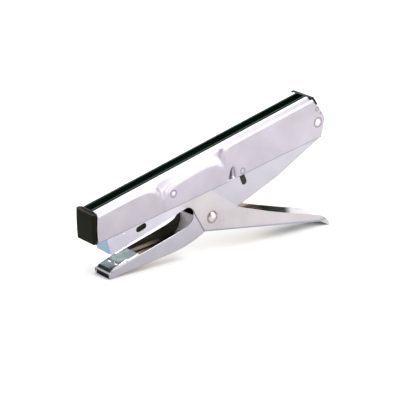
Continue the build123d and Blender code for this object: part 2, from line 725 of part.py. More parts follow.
# =========================================================================== pusher
with BuildPart() as pusher:
    with BuildSketch(across(MAG, (PUSHER[0], 0))):
        with Locations((0, LEG_FOOT + GAP)):
            Rectangle(STAPLE_CROWN, PUSHER_TOP - LEG_FOOT - GAP, align=(Align.CENTER, Align.MIN))
        with Locations((0, CORE_TOP + GAP)):
            Rectangle(2 * (CORE_OUT + GAP), CORE_TOP + 1, align=(Align.CENTER, Align.MAX), mode=Mode.SUBTRACT)
        with Locations((0, 2 * MAG_SHEET + 0.2)):
            Rectangle(2 * (CORE_IN - 0.15), CORE_TOP, align=(Align.CENTER, Align.MIN))
        with Locations((0, ROD_H)):
            Circle(ROD_R + RUNNING, mode=Mode.SUBTRACT)
    extrude(amount=PUSHER[1] - PUSHER[0])
save(pusher, "pusher")

COIL_R = 1.75
COIL_WIRE_R = 0.35
COIL_TURNS = 38
coil_from, coil_to = PUSHER[1] + COIL_WIRE_R + 0.05, REAR_STOP[0] - COIL_WIRE_R - 0.05
coil_path = Helix(
    pitch=(coil_to - coil_from) / COIL_TURNS,
    height=coil_to - coil_from,
    radius=COIL_R,
    center=at(MAG, (coil_from, ROD_H)),
    direction=MAG.x_dir,
)
with BuildPart() as pusher_spring:
    with BuildLine():
        add(coil_path)
    with BuildSketch(Plane(origin=coil_path @ 0, z_dir=coil_path % 0)):
        Circle(COIL_WIRE_R)
    sweep(is_frenet=True)
save(pusher_spring, "pusher_spring")


# =========================================================================== handle
# The handle is a channel, open towards the body, whose walls rise in front as two ears and run
# on as arms under the cover.  The cross pin runs in the arms' slots.
HANDLE_FRONT = (74.7, -51.2)
HANDLE_BEND = (165.9, -88.8)
HANDLE_WEB_START = 77.6
ARM_SLOT_R = CROSS_PIN_R + 0.3


def pin_in_handle(share):
    """Where the cross pin stands in the handle's own outline at a share of the squeeze."""
    on_cover = rotated(CROSS_PIN, REAR_PIVOT, HEAD_TRAVEL * share)
    return rotated(on_cover, MAIN_PIVOT, -HANDLE_TRAVEL * share)


web_dir = atan2(HANDLE_BEND[1] - HANDLE_FRONT[1], HANDLE_BEND[0] - HANDLE_FRONT[0])
lip_dir = atan2(HANDLE_TIP[1] - HANDLE_BEND[1], HANDLE_TIP[0] - HANDLE_BEND[0])
web_inner = HANDLE_FRONT[1] + SHEET / cos(web_dir)
bend_mid = (web_dir + lip_dir) / 2
bend_reach = SHEET / cos((lip_dir - web_dir) / 2)
bend_inner = (HANDLE_BEND[0] - bend_reach * sin(bend_mid), HANDLE_BEND[1] + bend_reach * cos(bend_mid))
lip_inner = (HANDLE_TIP[0] - SHEET * sin(lip_dir), HANDLE_TIP[1] + SHEET * cos(lip_dir))


def web_line(u):
    """The height of the web's inside, straight from the handle's front to the bend."""
    return web_inner + (u - HANDLE_FRONT[0]) * sin(web_dir) / cos(web_dir)


with BuildPart() as handle_lever:
    with BuildSketch(SIDE):
        with BuildLine():
            Polyline(HANDLE_FRONT, (68.8, -32.7))
            Spline((68.8, -32.7), (63.6, -27.8), (56.0, -24.6), (50.6, -19.0), (51.0, -12.2), (55.6, -9.6))
            Spline((55.6, -9.6), (64.0, -10.4), (71.0, -14.4), (82.6, -23.9))
            Polyline((82.6, -23.9), (103.0, -47.2), (126.7, -62.1), (150.2, -75.6), (165.1, -83.6))
            Spline((165.1, -83.6), (170.2, -87.6), HANDLE_LIP)
            Polyline(HANDLE_LIP, HANDLE_TIP, HANDLE_BEND, HANDLE_FRONT)
        make_face()
    extrude(amount=HANDLE_OUT, both=True)
    with BuildSketch(SIDE):
        outline(
            (40.0, 0.0),
            (40.0, -60.0),
            (HANDLE_WEB_START, -60.0),
            (HANDLE_WEB_START, web_line(HANDLE_WEB_START)),
            bend_inner,
            lip_inner,
            (lip_inner[0] + 10 * cos(lip_dir), lip_inner[1] + 10 * sin(lip_dir)),
            (190.0, 0.0),
        )
    extrude(amount=HANDLE_IN, both=True, mode=Mode.SUBTRACT)
    with BuildSketch(SIDE):
        with Locations(MAIN_PIVOT):
            Circle(MAIN_RIVET_R + RUNNING)
        with BuildLine(mode=Mode.PRIVATE) as arm_path:
            ThreePointArc(pin_in_handle(-0.02), pin_in_handle(0.5), pin_in_handle(1.02))
        SlotArc(arm_path.edge(), 2 * ARM_SLOT_R)
    extrude(amount=HANDLE_OUT + 1, both=True, mode=Mode.SUBTRACT)
save(handle_lever, "handle_lever")
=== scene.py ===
import json
import math
import bmesh
import bpy
from mathutils import Matrix, Vector


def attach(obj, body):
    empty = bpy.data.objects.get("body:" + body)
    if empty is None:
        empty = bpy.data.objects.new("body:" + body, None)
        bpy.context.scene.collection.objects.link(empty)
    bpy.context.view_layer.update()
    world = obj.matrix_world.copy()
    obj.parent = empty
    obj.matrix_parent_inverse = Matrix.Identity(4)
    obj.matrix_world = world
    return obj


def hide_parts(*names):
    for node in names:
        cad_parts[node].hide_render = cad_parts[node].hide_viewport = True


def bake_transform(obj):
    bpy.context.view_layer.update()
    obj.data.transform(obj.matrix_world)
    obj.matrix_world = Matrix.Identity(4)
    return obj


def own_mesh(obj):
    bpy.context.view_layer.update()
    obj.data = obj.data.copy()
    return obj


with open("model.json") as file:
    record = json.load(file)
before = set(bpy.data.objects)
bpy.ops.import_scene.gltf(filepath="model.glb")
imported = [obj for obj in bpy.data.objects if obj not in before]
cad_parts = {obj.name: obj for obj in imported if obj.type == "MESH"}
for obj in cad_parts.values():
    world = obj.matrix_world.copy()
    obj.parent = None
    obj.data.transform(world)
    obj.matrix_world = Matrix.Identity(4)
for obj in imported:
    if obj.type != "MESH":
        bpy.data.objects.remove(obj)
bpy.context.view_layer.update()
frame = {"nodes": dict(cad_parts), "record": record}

scene = bpy.context.scene
MM = 0.001


# ---------------------------------------------------------------- the body's side plane
# u runs rearwards along the cover, v up, w towards the near side (-Y), in millimetres.
PITCH = math.atan2(46.1, 171.6)
COS, SIN = math.cos(PITCH), math.sin(PITCH)
REAR_PIVOT, MAIN_PIVOT = (175.3, -19.3), (81.8, -44.0)
CROSS_PIN, STOP_PIN, CAP_PIN = (55.8, -14.3), (110.0, -24.0), (176.0, -10.2)
CAP_DIMPLE = (178.6, -14.0)
DENT, DENT_AXIS = (102.4, -22.0), (-0.2, -0.98)
DENT_TOP, DENT_LENGTH = -4.4, 6.8
# corners of the cover's lower edge, from the front
LOWER = ((-3.7, -20.0), (98.3, -26.3), (140.0, -27.9), (176.4, -30.3))
STRIP_RIDGE_W = 3.5


def joint_place(name):
    joints = frame["record"]["behaviour"]["joints"]
    return Vector(next(j["pos_m"] for j in joints if j["name"] == name))


rear = joint_place("head_hinge")
OFF_X = rear.x / MM - (REAR_PIVOT[0] * COS - REAR_PIVOT[1] * SIN)
OFF_Z = rear.z / MM - (REAR_PIVOT[0] * SIN + REAR_PIVOT[1] * COS)
OFF_U, OFF_V = OFF_X * COS + OFF_Z * SIN, OFF_Z * COS - OFF_X * SIN


def at(u, v, w=0.0):
    return Vector((OFF_X + u * COS - v * SIN, -w, OFF_Z + u * SIN + v * COS)) * MM


# ---------------------------------------------------------------- materials
class Nodes:
    """Short calls for building one material's node tree."""

    def __init__(self, name):
        self.mat = bpy.data.materials.new(name)
        self.mat.use_nodes = True
        self.tree = self.mat.node_tree
        self.bsdf = self.tree.nodes["Principled BSDF"]

    def add(self, kind, **values):
        node = self.tree.nodes.new(kind)
        for key, value in values.items():
            if hasattr(node, key):
                setattr(node, key, value)
            else:
                node.inputs[key.replace("_", " ")].default_value = value
        return node

    def link(self, a, b):
        self.tree.links.new(a, b)

    def place(self, scale=(1, 1, 1), turn=0.0):
        """Object coordinates, turned into the body's plane and scaled."""
        coords = self.add("ShaderNodeTexCoord")
        mapping = self.add("ShaderNodeMapping")
        mapping.inputs["Rotation"].default_value = (0, turn, 0)
        mapping.inputs["Scale"].default_value = scale
        self.link(coords.outputs["Object"], mapping.inputs["Vector"])
        return mapping.outputs["Vector"]

    def noise(self, vector, scale, detail=4.0, rough=0.5):
        node = self.add("ShaderNodeTexNoise", Scale=scale, Detail=detail, Roughness=rough)
        self.link(vector, node.inputs["Vector"])
        return node.outputs["Fac"]

    def ramp(self, fac, stops):
        node = self.add("ShaderNodeValToRGB")
        ramp = node.color_ramp
        while len(ramp.elements) < len(stops):
            ramp.elements.new(0.5)
        for element, (place, colour) in zip(ramp.elements, stops):
            element.position = place
            element.color = (*colour, 1.0) if len(colour) == 3 else colour
        self.link(fac, node.inputs["Fac"])
        return node.outputs["Color"]

    def span(self, fac, low, high, start=0.0, stop=1.0):
        """Goes from low to high as fac goes from start to stop, and is level beyond."""
        node = self.add("ShaderNodeMapRange")
        values = {"From Min": start, "From Max": stop, "To Min": low, "To Max": high}
        for key, value in values.items():
            node.inputs[key].default_value = value
        self.link(fac, node.inputs["Value"])
        return node.outputs["Result"]

    def line(self, u, start, end):
        """The height v of a straight line between two (u, v) points, level beyond them."""
        return self.span(u, start[1], end[1], start[0], end[0])

    def near(self, value, centre, solid, gone):
        """1 within solid of the centre, 0 beyond gone."""
        off = self.maths("ABSOLUTE", self.maths("SUBTRACT", value, centre))
        return self.span(off, 1.0, 0.0, solid, gone)

    def maths(self, kind, a, b=None):
        node = self.add("ShaderNodeMath", operation=kind)
        for socket, value in zip(node.inputs, (a, b)):
            if value is None:
                continue
            if isinstance(value, (int, float)):
                socket.default_value = value
            else:
                self.link(value, socket)
        return node.outputs["Value"]

    def mix(self, fac, a, b, kind="MIX"):
        node = self.add("ShaderNodeMix", data_type="RGBA", blend_type=kind)
        for socket, value in ((node.inputs[0], fac), (node.inputs[6], a), (node.inputs[7], b)):
            if isinstance(value, (int, float)):
                socket.default_value = value
            elif isinstance(value, tuple):
                socket.default_value = (*value, 1.0)
            else:
                self.link(value, socket)
        return node.outputs[2]

    def bump(self, height, strength, distance):
        node = self.add("ShaderNodeBump", Strength=strength, Distance=distance)
        self.link(height, node.inputs["Height"])
        self.link(node.outputs["Normal"], self.bsdf.inputs["Normal"])

    def along(self):
        """Object coordinates in the body's side plane, in millimetres: u, |w| and v."""
        coords = self.add("ShaderNodeTexCoord")
        mapping = self.add("ShaderNodeMapping")
        mapping.inputs["Rotation"].default_value = (0, PITCH, 0)
        mapping.inputs["Scale"].default_value = (1 / MM, -1 / MM, 1 / MM)
        self.link(coords.outputs["Object"], mapping.inputs["Vector"])
        split = self.add("ShaderNodeSeparateXYZ")
        self.link(mapping.outputs["Vector"], split.inputs["Vector"])
        u = self.maths("SUBTRACT", split.outputs["X"], OFF_U)
        v = self.maths("SUBTRACT", split.outputs["Z"], OFF_V)
        return u, self.maths("ABSOLUTE", split.outputs["Y"]), v

    def spot(self, place, centre, radius, width):
        """1 on a ring of this radius around a point of the side plane, fading over the width."""
        u, _, v = place
        du = self.maths("SUBTRACT", u, centre[0])
        dv = self.maths("SUBTRACT", v, centre[1])
        squares = self.maths("ADD", self.maths("POWER", du, 2.0), self.maths("POWER", dv, 2.0))
        return self.near(self.maths("SQRT", squares), radius, 0.3 * width, width)


BRUSH_SCALE, CLOUD_SCALE, SPECK_SCALE = (120, 2600, 2600), 55.0, 900.0
RING_SHADE, RING_SHADE_SHARE = (0.05, 0.045, 0.05), 0.55
SHEET_BUMP, SHEET_BUMP_DEPTH = 0.04, 0.0004


def plated(name, colour, rough=0.3, wear=0.5, shade_rings=(), inner=None):
    """Satin plated steel: faint lengthwise brushing, cloudy gloss and small stains, with painted shade rings around
    rivet heads.
    """
    n = Nodes(name)
    n.bsdf.inputs["Metallic"].default_value = 1.0
    brushed = n.noise(n.place(BRUSH_SCALE, PITCH), 1.0, 3.0)
    cloud = n.noise(n.place(), CLOUD_SCALE, 3.0)
    speck = n.noise(n.place(), SPECK_SCALE, 2.0)
    dark = tuple(c * 0.90 for c in colour)
    light = tuple(min(1.0, c * 1.05) for c in colour)
    base = n.ramp(cloud, ((0.30, dark), (0.70, light)))
    base = n.mix(n.span(brushed, 0.0, 0.35, 0.35, 0.75), base, tuple(c * 0.93 for c in colour))
    base = n.mix(n.span(speck, 0.0, 0.5 * wear, 0.68, 0.82), base, tuple(c * 0.6 for c in colour))
    roughness = n.span(cloud, rough - 0.05, rough + 0.09, 0.3, 0.7)
    place = n.along()
    for centre, radius, width in shade_rings:  # painted shade around a rivet's head
        ring = n.maths("MULTIPLY", n.spot(place, centre, radius, width), RING_SHADE_SHARE)
        base = n.mix(ring, base, RING_SHADE)
    if inner:
        base = inner(n, place, base)
    n.link(base, n.bsdf.inputs["Base Color"])
    n.link(roughness, n.bsdf.inputs["Roughness"])
    n.bump(n.maths("ADD", brushed, n.maths("MULTIPLY", speck, 0.15)), SHEET_BUMP, SHEET_BUMP_DEPTH)
    return n.mat


PLASTIC_CLOUD, PLASTIC_GRAIN, SCUFF_SCALE = 70.0, 2400.0, (160, 1500, 1500)


def moulded(name, colour, rough=0.34, ridge_highlight=None):
    """Moulded black plastic: fine texture, scuffs and, where it has ridges, painted paler highlights along them."""
    n = Nodes(name)
    n.bsdf.inputs["Specular IOR Level"].default_value = 0.02
    cloud = n.noise(n.place(), PLASTIC_CLOUD, 4.0)
    grain = n.noise(n.place(), PLASTIC_GRAIN, 2.0)
    scuff = n.noise(n.place(SCUFF_SCALE, PITCH), 1.0, 3.0)
    dark = tuple(c * 0.75 for c in colour)
    light = tuple(c * 1.25 for c in colour)
    base = n.ramp(cloud, ((0.3, dark), (0.7, light)))
    base = n.mix(n.span(scuff, 0.0, 0.25, 0.60, 0.80), base, tuple(c * 2.0 + 0.0015 for c in colour))
    if ridge_highlight:
        # painted highlight along the ridges
        base = n.mix(n.near(n.along()[1], STRIP_RIDGE_W, 0.2, 0.55), base, ridge_highlight)
    n.link(base, n.bsdf.inputs["Base Color"])
    n.link(n.span(cloud, rough - 0.06, rough + 0.12, 0.3, 0.7), n.bsdf.inputs["Roughness"])
    n.bump(grain, 0.12, 0.0002)
    return n.mat


# painted shade rings around rivet heads, a dimple and a hole: centre, radius and width
COVER_SHADE_RINGS = (
    (REAR_PIVOT, 3.1, 0.7), (CROSS_PIN, 2.2, 0.6), (STOP_PIN, 1.8, 0.5),
    (CAP_PIN, 1.2, 0.5), (CAP_DIMPLE, 0.2, 0.9),
)
RIVET_SHADE_RINGS = ((REAR_PIVOT, 2.95, 0.8), (MAIN_PIVOT, 3.5, 0.8), (CROSS_PIN, 2.1, 0.7), (STOP_PIN, 0.2, 1.0))
HANDLE_SHADE_RINGS = ((MAIN_PIVOT, 3.75, 0.7),)

JAW_FLOOR = ((0.7, -47.6), (52.0, -53.6))
JAW_SKIN, JAW_WALL, HANDLE_SKIN = (7.02, 7.08), (6.90, 6.96), (7.84, 7.90)
HANDLE_CORNER = ((74.7, -50.9), (165.9, -88.3))
INSIDE_SHADE_DARK, INSIDE_SHADE_LIGHT = (0.012, 0.014, 0.008), (0.060, 0.060, 0.042)
TAN_DARK, TAN_LIGHT = (0.34, 0.27, 0.21), (0.78, 0.64, 0.53)


def paint_over_metal(n, base, mask, painted_shade, shine):
    """Painted shade and reflections, with the metallic value lowered to shine, over the metal where the mask is 1."""
    n.link(n.span(mask, 1.0, shine), n.bsdf.inputs["Metallic"])
    return n.mix(mask, base, painted_shade)


def jaw_inside(n, place, base):
    """Painted shade and reflections inside the jaw: a pale strip low on the walls, a tan band over a dark corner
    line, dark streaked walls, a tan floor turning dark, a bright patch at the rear and black beyond it.
    """
    u, w, v = place
    streak = n.noise(n.place((30, 700, 700), PITCH), 1.0, 3.0)
    height = n.maths("SUBTRACT", v, n.line(u, *JAW_FLOOR))
    # painted shade and reflections, streaked: dark on the walls, tan in a band and on the floor
    shaded = n.ramp(streak, ((0.35, INSIDE_SHADE_DARK), (0.65, INSIDE_SHADE_LIGHT)))
    tan = n.ramp(streak, ((0.35, TAN_DARK), (0.65, TAN_LIGHT)))
    band = n.maths("MULTIPLY", n.span(height, 1.0, 0.0, 4.2, 5.4), n.span(u, 1.0, 0.0, 36.0, 52.0))
    wall = n.mix(band, shaded, tan)
    # painted shade: a near-black line in the corner above the floor
    wall = n.mix(n.span(height, 1.0, 0.0, 2.3, 2.6), wall, (0.006, 0.004, 0.003))
    # painted light: a pale strip low on the walls, dark towards the rear
    lit_strip = n.mix(n.span(u, 0.0, 1.0, 30.0, 44.0), (0.95, 0.82, 0.72), (0.05, 0.04, 0.03))
    wall = n.mix(n.span(height, 1.0, 0.0, 1.1, 1.3), wall, lit_strip)
    floor = n.mix(n.span(u, 0.0, 1.0, 40.0, 56.0), tan, shaded)
    # painted light: a bright patch on the floor towards the rear
    floor = n.mix(n.span(u, 0.0, 1.0, 61.0, 65.0), floor, (0.95, 0.90, 0.95))
    painted_shade = n.mix(n.span(w, 0.0, 1.0, *JAW_WALL), floor, wall)
    # painted shade: near-black further back inside the frame
    painted_shade = n.mix(n.span(u, 0.0, 1.0, 71.0, 73.0), painted_shade, (0.004, 0.004, 0.004))
    return paint_over_metal(n, base, n.span(w, 1.0, 0.0, *JAW_SKIN), painted_shade, 0.25)


def handle_inside(n, place, base):
    """Painted shade and reflections inside the handle: tan streaks in front, dark in the middle, light grey
    at the end; outside, painted bluish shade along the lower corner."""
    u, w, v = place
    streak = n.noise(n.place((22, 500, 500), PITCH), 1.0, 3.0)
    # painted reflections and shade inside: tan streaks in front, dark in the middle, light grey at the end
    stops = ((0.38, (0.02, 0.014, 0.01)), (0.50, (0.25, 0.16, 0.10)), (0.62, (0.85, 0.68, 0.54)))
    front = n.ramp(streak, stops)
    middle = n.ramp(streak, ((0.40, (0.006, 0.009, 0.007)), (0.70, (0.04, 0.05, 0.045))))
    painted_shade = n.mix(n.span(u, 0.0, 1.0, 124.0, 134.0), front, middle)
    painted_shade = n.mix(n.span(u, 0.0, 1.0, 151.0, 156.0), painted_shade, (0.62, 0.60, 0.62))
    foot = n.maths("ABSOLUTE", n.maths("SUBTRACT", v, n.line(u, *HANDLE_CORNER)))
    # painted bluish shade along the handle's lower corner
    base = n.mix(n.span(foot, 0.65, 0.0, 0.5, 1.3), base, (0.20, 0.24, 0.31))
    return paint_over_metal(n, base, n.span(w, 1.0, 0.0, *HANDLE_SKIN), painted_shade, 0.3)


NOSE_EDGE, NOSE_REFLECTION = (6.7, 7.2), (0.24, 0.37, 0.50)


def nose_front_reflection(n, place, base):
    """A painted bluish reflection on the front of the nose plate."""
    return n.mix(n.span(place[1], 1.0, 0.0, *NOSE_EDGE), base, NOSE_REFLECTION)


# the painted dark reflection's strength across the dent's width, as (place, grey)
DENT_REFLECTION_STREAKS = (
    (0.02, 0.0), (0.12, 0.75), (0.30, 1.0), (0.52, 0.85), (0.60, 0.15), (0.72, 0.15), (0.80, 0.6), (0.92, 0.0),
)
DENT_REFLECTION_DARK, EDGE_SHADOW = (0.035, 0.035, 0.042), (0.10, 0.09, 0.11)


def cover_painted_shade(n, place, base):
    """Painted dark reflection streaks in the cover's drop-shaped dent, and a painted shadow along its lower edge."""
    u, _, v = place
    du, dv = n.maths("SUBTRACT", u, DENT[0]), n.maths("SUBTRACT", v, DENT[1])
    c, s = DENT_AXIS
    along = n.maths("ADD", n.maths("MULTIPLY", du, c), n.maths("MULTIPLY", dv, s))
    over = n.maths("SUBTRACT", n.maths("MULTIPLY", dv, c), n.maths("MULTIPLY", du, s))
    taper = n.span(along, 0.02, 1.0, DENT_TOP, DENT_TOP + DENT_LENGTH)
    width = n.maths("MULTIPLY", n.maths("SQRT", taper), 3.6)
    share = n.maths("DIVIDE", over, width)
    end = n.span(n.maths("ABSOLUTE", along), 1.0, 0.0, 3.6, 4.4)
    dark = n.ramp(n.span(share, 0.0, 1.0, -1.0, 1.0), [(spot, (grey,) * 3) for spot, grey in DENT_REFLECTION_STREAKS])
    # painted dark reflection streaks in the dent
    base = n.mix(n.maths("MULTIPLY", end, dark), base, DENT_REFLECTION_DARK)
    low = LOWER[0][1]
    for (u0, v0), (u1, v1) in zip(LOWER, LOWER[1:]):
        low = n.maths("ADD", low, n.line(u, (u0, 0.0), (u1, v1 - v0)))
    # painted shadow along the cover's lower edge
    edge = n.span(n.maths("SUBTRACT", v, low), 0.55, 0.0, 0.25, 0.75)
    return n.mix(edge, base, EDGE_SHADOW)


ANVIL_PAD = ((4.4, -42.75), (15.2, -41.9))
GROOVE_U, BEND_U, RIM_W = 9.2, 1.35, (6.15, 6.35)
ANVIL_PATCH, ANVIL_SKIRT, ANVIL_HIGHLIGHT = (0.060, 0.085, 0.090), (0.008, 0.008, 0.010), (0.72, 0.70, 0.74)


def anvil_highlights(n, place, base):
    """Painted highlights on the anvil's rims, grooves and bends against its dark chrome, which has random paler
    patches and is near-black at the front.
    """
    u, w, v = place
    pad = n.maths("SUBTRACT", v, n.line(u, *ANVIL_PAD))  # height over the pad's top
    groove = n.maths("MULTIPLY", n.span(pad, 1.0, 0.0, -0.45, -0.25), n.near(u, GROOVE_U, 2.0, 2.6))
    rim = n.span(w, 0.0, 1.0, *RIM_W)
    bend = n.near(u, BEND_U, 0.25, 0.45)
    bright = n.maths("MAXIMUM", n.maths("MAXIMUM", rim, bend), groove)
    patch = n.noise(n.place(), 260.0, 2.0)
    base = n.mix(n.span(patch, 0.0, 0.8, 0.45, 0.70), base, ANVIL_PATCH)
    base = n.mix(n.span(u, 1.0, 0.0, 0.9, 1.1), base, ANVIL_SKIRT)
    # painted highlights on the rims, groove walls and bend
    return n.mix(bright, base, ANVIL_HIGHLIGHT)


NICKEL = (0.402, 0.370, 0.418)
mats = {
    "cover": plated("nickel_cover", NICKEL, 0.32, shade_rings=COVER_SHADE_RINGS, inner=cover_painted_shade),
    "frame": plated("nickel_frame", (0.415, 0.400, 0.442), 0.30, inner=jaw_inside),
    "handle": plated("nickel_handle", (0.475, 0.440, 0.456), 0.30, shade_rings=HANDLE_SHADE_RINGS, inner=handle_inside),
    "magazine": plated("nickel_magazine", (0.54, 0.51, 0.58), 0.30),
    "nose": plated("nickel_nose", (0.54, 0.52, 0.59), 0.26, inner=nose_front_reflection),
    "anvil": plated("anvil_chrome", (0.030, 0.042, 0.046), 0.14, inner=anvil_highlights),
    "rivet": plated("rivet_steel", (0.66, 0.58, 0.57), 0.28, 1.0, shade_rings=RIVET_SHADE_RINGS),
    "spring": plated("spring_steel", (0.36, 0.35, 0.33), 0.30, 1.0),
    "staple": plated("staple_wire", (0.70, 0.70, 0.72), 0.30),
    "black": moulded("black_plastic", (0.012, 0.012, 0.007)),
    "strip": moulded("black_strip", (0.0012, 0.0042, 0.0022), 0.30, ridge_highlight=(0.055, 0.115, 0.082)),
}
BY_NODE = {
    "top_cover": "cover", "frame_channel": "frame", "handle_lever": "handle", "magazine_channel": "magazine",
    "nose_plate": "nose", "anvil_plate": "anvil", "anvil_rivets": "rivet", "main_rivet": "rivet",
    "pivot_bush": "rivet", "rear_rivets": "rivet", "return_spring": "spring", "top_strip": "strip",
    "front_cap": "black", "driver_blade": "spring", "driver_holder": "rivet", "driver_rivets": "rivet",
    "cross_pin": "rivet", "stop_studs": "rivet", "rear_cap_pin": "rivet", "magazine_spring": "spring",
    "rear_cap": "black", "staple_core": "magazine", "spring_seat": "magazine", "staple_strip": "staple",
    "guide_rod": "spring", "rear_stop": "black", "pusher": "black", "pusher_spring": "spring",
}
for node, key in BY_NODE.items():
    obj = frame["nodes"][node]
    if not obj.material_slots:
        obj.data.materials.append(mats[key])
    for s in obj.material_slots:
        s.material = mats[key]


# ---------------------------------------------------------------- cover: a pressed shell with relief
COVER_OUT, SHEET, COVER_TOP, CORNER_R = 9.3, 0.7, -1.8, 2.4
# the outlines of the cover's flat panels, as (u, v)
PANELS = (
    ((-10, -4.0), (12, -3.9), (25.6, -4.3), (33, -4.9), (38.5, -6.0), (42, -8.0), (44.0, -11.0), (43.6, -15.0),
     (42.8, -20.0), (42.0, -36.0), (-10, -36.0)),
    ((48.3, -36), (48.4, -20), (49.2, -15.6), (51.6, -13.0), (57.7, -10.9), (66.4, -10.2), (76.5, -9.8),
     (85.1, -10.1), (90.7, -11.6), (94.5, -14.6), (96.6, -18.5), (97.4, -22.5), (98.0, -36)),
    ((99.4, -36), (98.9, -22), (98.6, -15), (99.0, -8.2), (100.2, -5.9), (103.5, -4.5), (111.3, -4.0),
     (190, -3.7), (190, -36)),
)


def polygon_distance(p, polygon):
    """Distance of a point outside a polygon, 0 inside it."""
    inside, best = False, 1e9
    for a, b in zip(polygon, polygon[1:] + polygon[:1]):
        if (a[1] > p[1]) != (b[1] > p[1]) and p[0] < (b[0] - a[0]) * (p[1] - a[1]) / (b[1] - a[1]) + a[0]:
            inside = not inside
        dx, dy = b[0] - a[0], b[1] - a[1]
        t = max(0.0, min(1.0, ((p[0] - a[0]) * dx + (p[1] - a[1]) * dy) / (dx * dx + dy * dy)))
        best = min(best, math.hypot(p[0] - a[0] - t * dx, p[1] - a[1] - t * dy))
    return 0.0 if inside else best


FACET, VALLEY = math.tan(math.radians(13.0)), 0.9  # slope beside a panel, softness between two
EDGE_ROUND, FACET_REACH, DENT_DEPTH = 0.5, 9.0, 0.9


def relief(u, v):
    """How far the side's row points lie inside their widest plane."""
    near = sum(math.exp(-polygon_distance((u, v), polygon) / VALLEY) for polygon in PANELS)
    gap = max(0.0, -VALLEY * math.log(max(near, 1e-9)))
    depth = FACET * (math.hypot(gap, EDGE_ROUND) - EDGE_ROUND) / (1.0 + (gap / FACET_REACH) ** 4) ** 0.25
    du, dv = u - DENT[0], v - DENT[1]
    along = du * DENT_AXIS[0] + dv * DENT_AXIS[1]
    over = dv * DENT_AXIS[0] - du * DENT_AXIS[1]
    width = 3.4 * math.sqrt(max((along - DENT_TOP) / DENT_LENGTH, 0.04))
    dent = math.exp(-((along / 4.2) ** 6) - abs(over / width) ** 3)
    return depth + DENT_DEPTH * dent


def curve(points, t):
    """A point on a polyline of (v, u) pairs given v, going down."""
    for (v0, u0), (v1, u1) in zip(points, points[1:]):
        if v0 >= t >= v1:
            return u0 + (u1 - u0) * (v0 - t) / (v0 - v1)
    return points[0][1] if t > points[0][0] else points[-1][1]


def arc_points(a, b, c, count):
    """Points of the arc from a to c through b."""
    (ax, ay), (bx, by), (cx, cy) = a, b, c
    d = 2 * (ax * (by - cy) + bx * (cy - ay) + cx * (ay - by))
    ux = ((ax**2 + ay**2) * (by - cy) + (bx**2 + by**2) * (cy - ay) + (cx**2 + cy**2) * (ay - by)) / d
    uy = ((ax**2 + ay**2) * (cx - bx) + (bx**2 + by**2) * (ax - cx) + (cx**2 + cy**2) * (bx - ax)) / d
    r = math.hypot(ax - ux, ay - uy)
    a0, a1 = math.atan2(ay - uy, ax - ux), math.atan2(cy - uy, cx - ux)
    mid = math.atan2(by - uy, bx - ux)
    if not min(a0, a1) <= mid <= max(a0, a1):
        a1 += math.tau if a1 < a0 else -math.tau
    return [(ux + r * math.cos(a0 + (a1 - a0) * i / count), uy + r * math.sin(a0 + (a1 - a0) * i / count))
            for i in range(count + 1)]


# the cover's front and rear outlines, as (v, u) going down
FRONT = [(v, u) for u, v in arc_points((0.2, COVER_TOP), (-2.2, -10.2), (-3.7, -20.0), 16)]
REAR = [(COVER_TOP, 173.4), (-2.7, 173.9), (-8.2, 176.3), (-8.21, 177.6)]
REAR += [(v, u) for u, v in arc_points((180.7, -16.2), (181.3, -18.0), (181.0, -20.0), 8)]
REAR.append((LOWER[-1][1], LOWER[-1][0]))


def lower_edge(u):
    for (u0, v0), (u1, v1) in zip(LOWER, LOWER[1:]):
        if u <= u1:
            return v0 + (v1 - v0) * (u - u0) / (u1 - u0)
    return LOWER[-1][1]


def new_piece(name, mesh, body, material, slot_name, *replaced):
    obj = bpy.data.objects.new(name, mesh)
    scene.collection.objects.link(obj)
    mesh.materials.append(material)
    for polygon in mesh.polygons:
        polygon.use_smooth = True
    if body:
        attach(obj, body)
    if replaced:
        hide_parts(*replaced)
    return obj


def grid_mesh(name, rows):
    """A quad mesh from rows of points in metres, all rows of one length."""
    mesh = bpy.data.meshes.new(name)
    width = len(rows[0])
    faces = [
        (r * width + c, r * width + c + 1, (r + 1) * width + c + 1, (r + 1) * width + c)
        for r in range(len(rows) - 1)
        for c in range(width - 1)
    ]
    mesh.from_pydata([p for row in rows for p in row], [], faces)
    return mesh


def modifier(obj, kind, **values):
    m = obj.modifiers.new(kind.lower(), kind)
    for key, value in values.items():
        setattr(m, key, value)
    return m


SIDE_STEPS, CORNER_STEPS, TOP_STEPS, LENGTH_STEPS = 44, 10, 8, 300


def cover_rows():
    """Rows of points across the sheet's inner face, from the cover's front to its rear."""
    rows = []
    for i in range(LENGTH_STEPS + 1):
        s = i / LENGTH_STEPS
        low = lower_edge(LOWER[0][0] + s * (LOWER[-1][0] - LOWER[0][0]))
        half = []
        for j in range(SIDE_STEPS):  # up the side from the lower edge to the corner
            t = j / SIDE_STEPS
            v = low + (COVER_TOP - CORNER_R - low) * t
            half.append((v, COVER_OUT))
        for j in range(CORNER_STEPS + 1):  # round the corner
            a = math.pi / 2 * j / CORNER_STEPS
            half.append((COVER_TOP - CORNER_R * (1 - math.sin(a)), COVER_OUT - CORNER_R * (1 - math.cos(a))))
        near = []
        for v, w in half:
            u = curve(FRONT, v) * (1 - s) + curve(REAR, v) * s
            near.append((u, v, w - relief(u, v) * (w / COVER_OUT) ** 3))
        top = [(near[-1][0], COVER_TOP, near[-1][2] * (1 - 2 * k / TOP_STEPS)) for k in range(1, TOP_STEPS)]
        far = [(u, v, -w) for u, v, w in reversed(near)]
        rows.append([at(*p) for p in near + top + far])
    return rows


cover_mesh = grid_mesh("cover_shell", cover_rows())
cover = new_piece("cover_shell", cover_mesh, "head", mats["cover"], "nickel_steel", "top_cover")
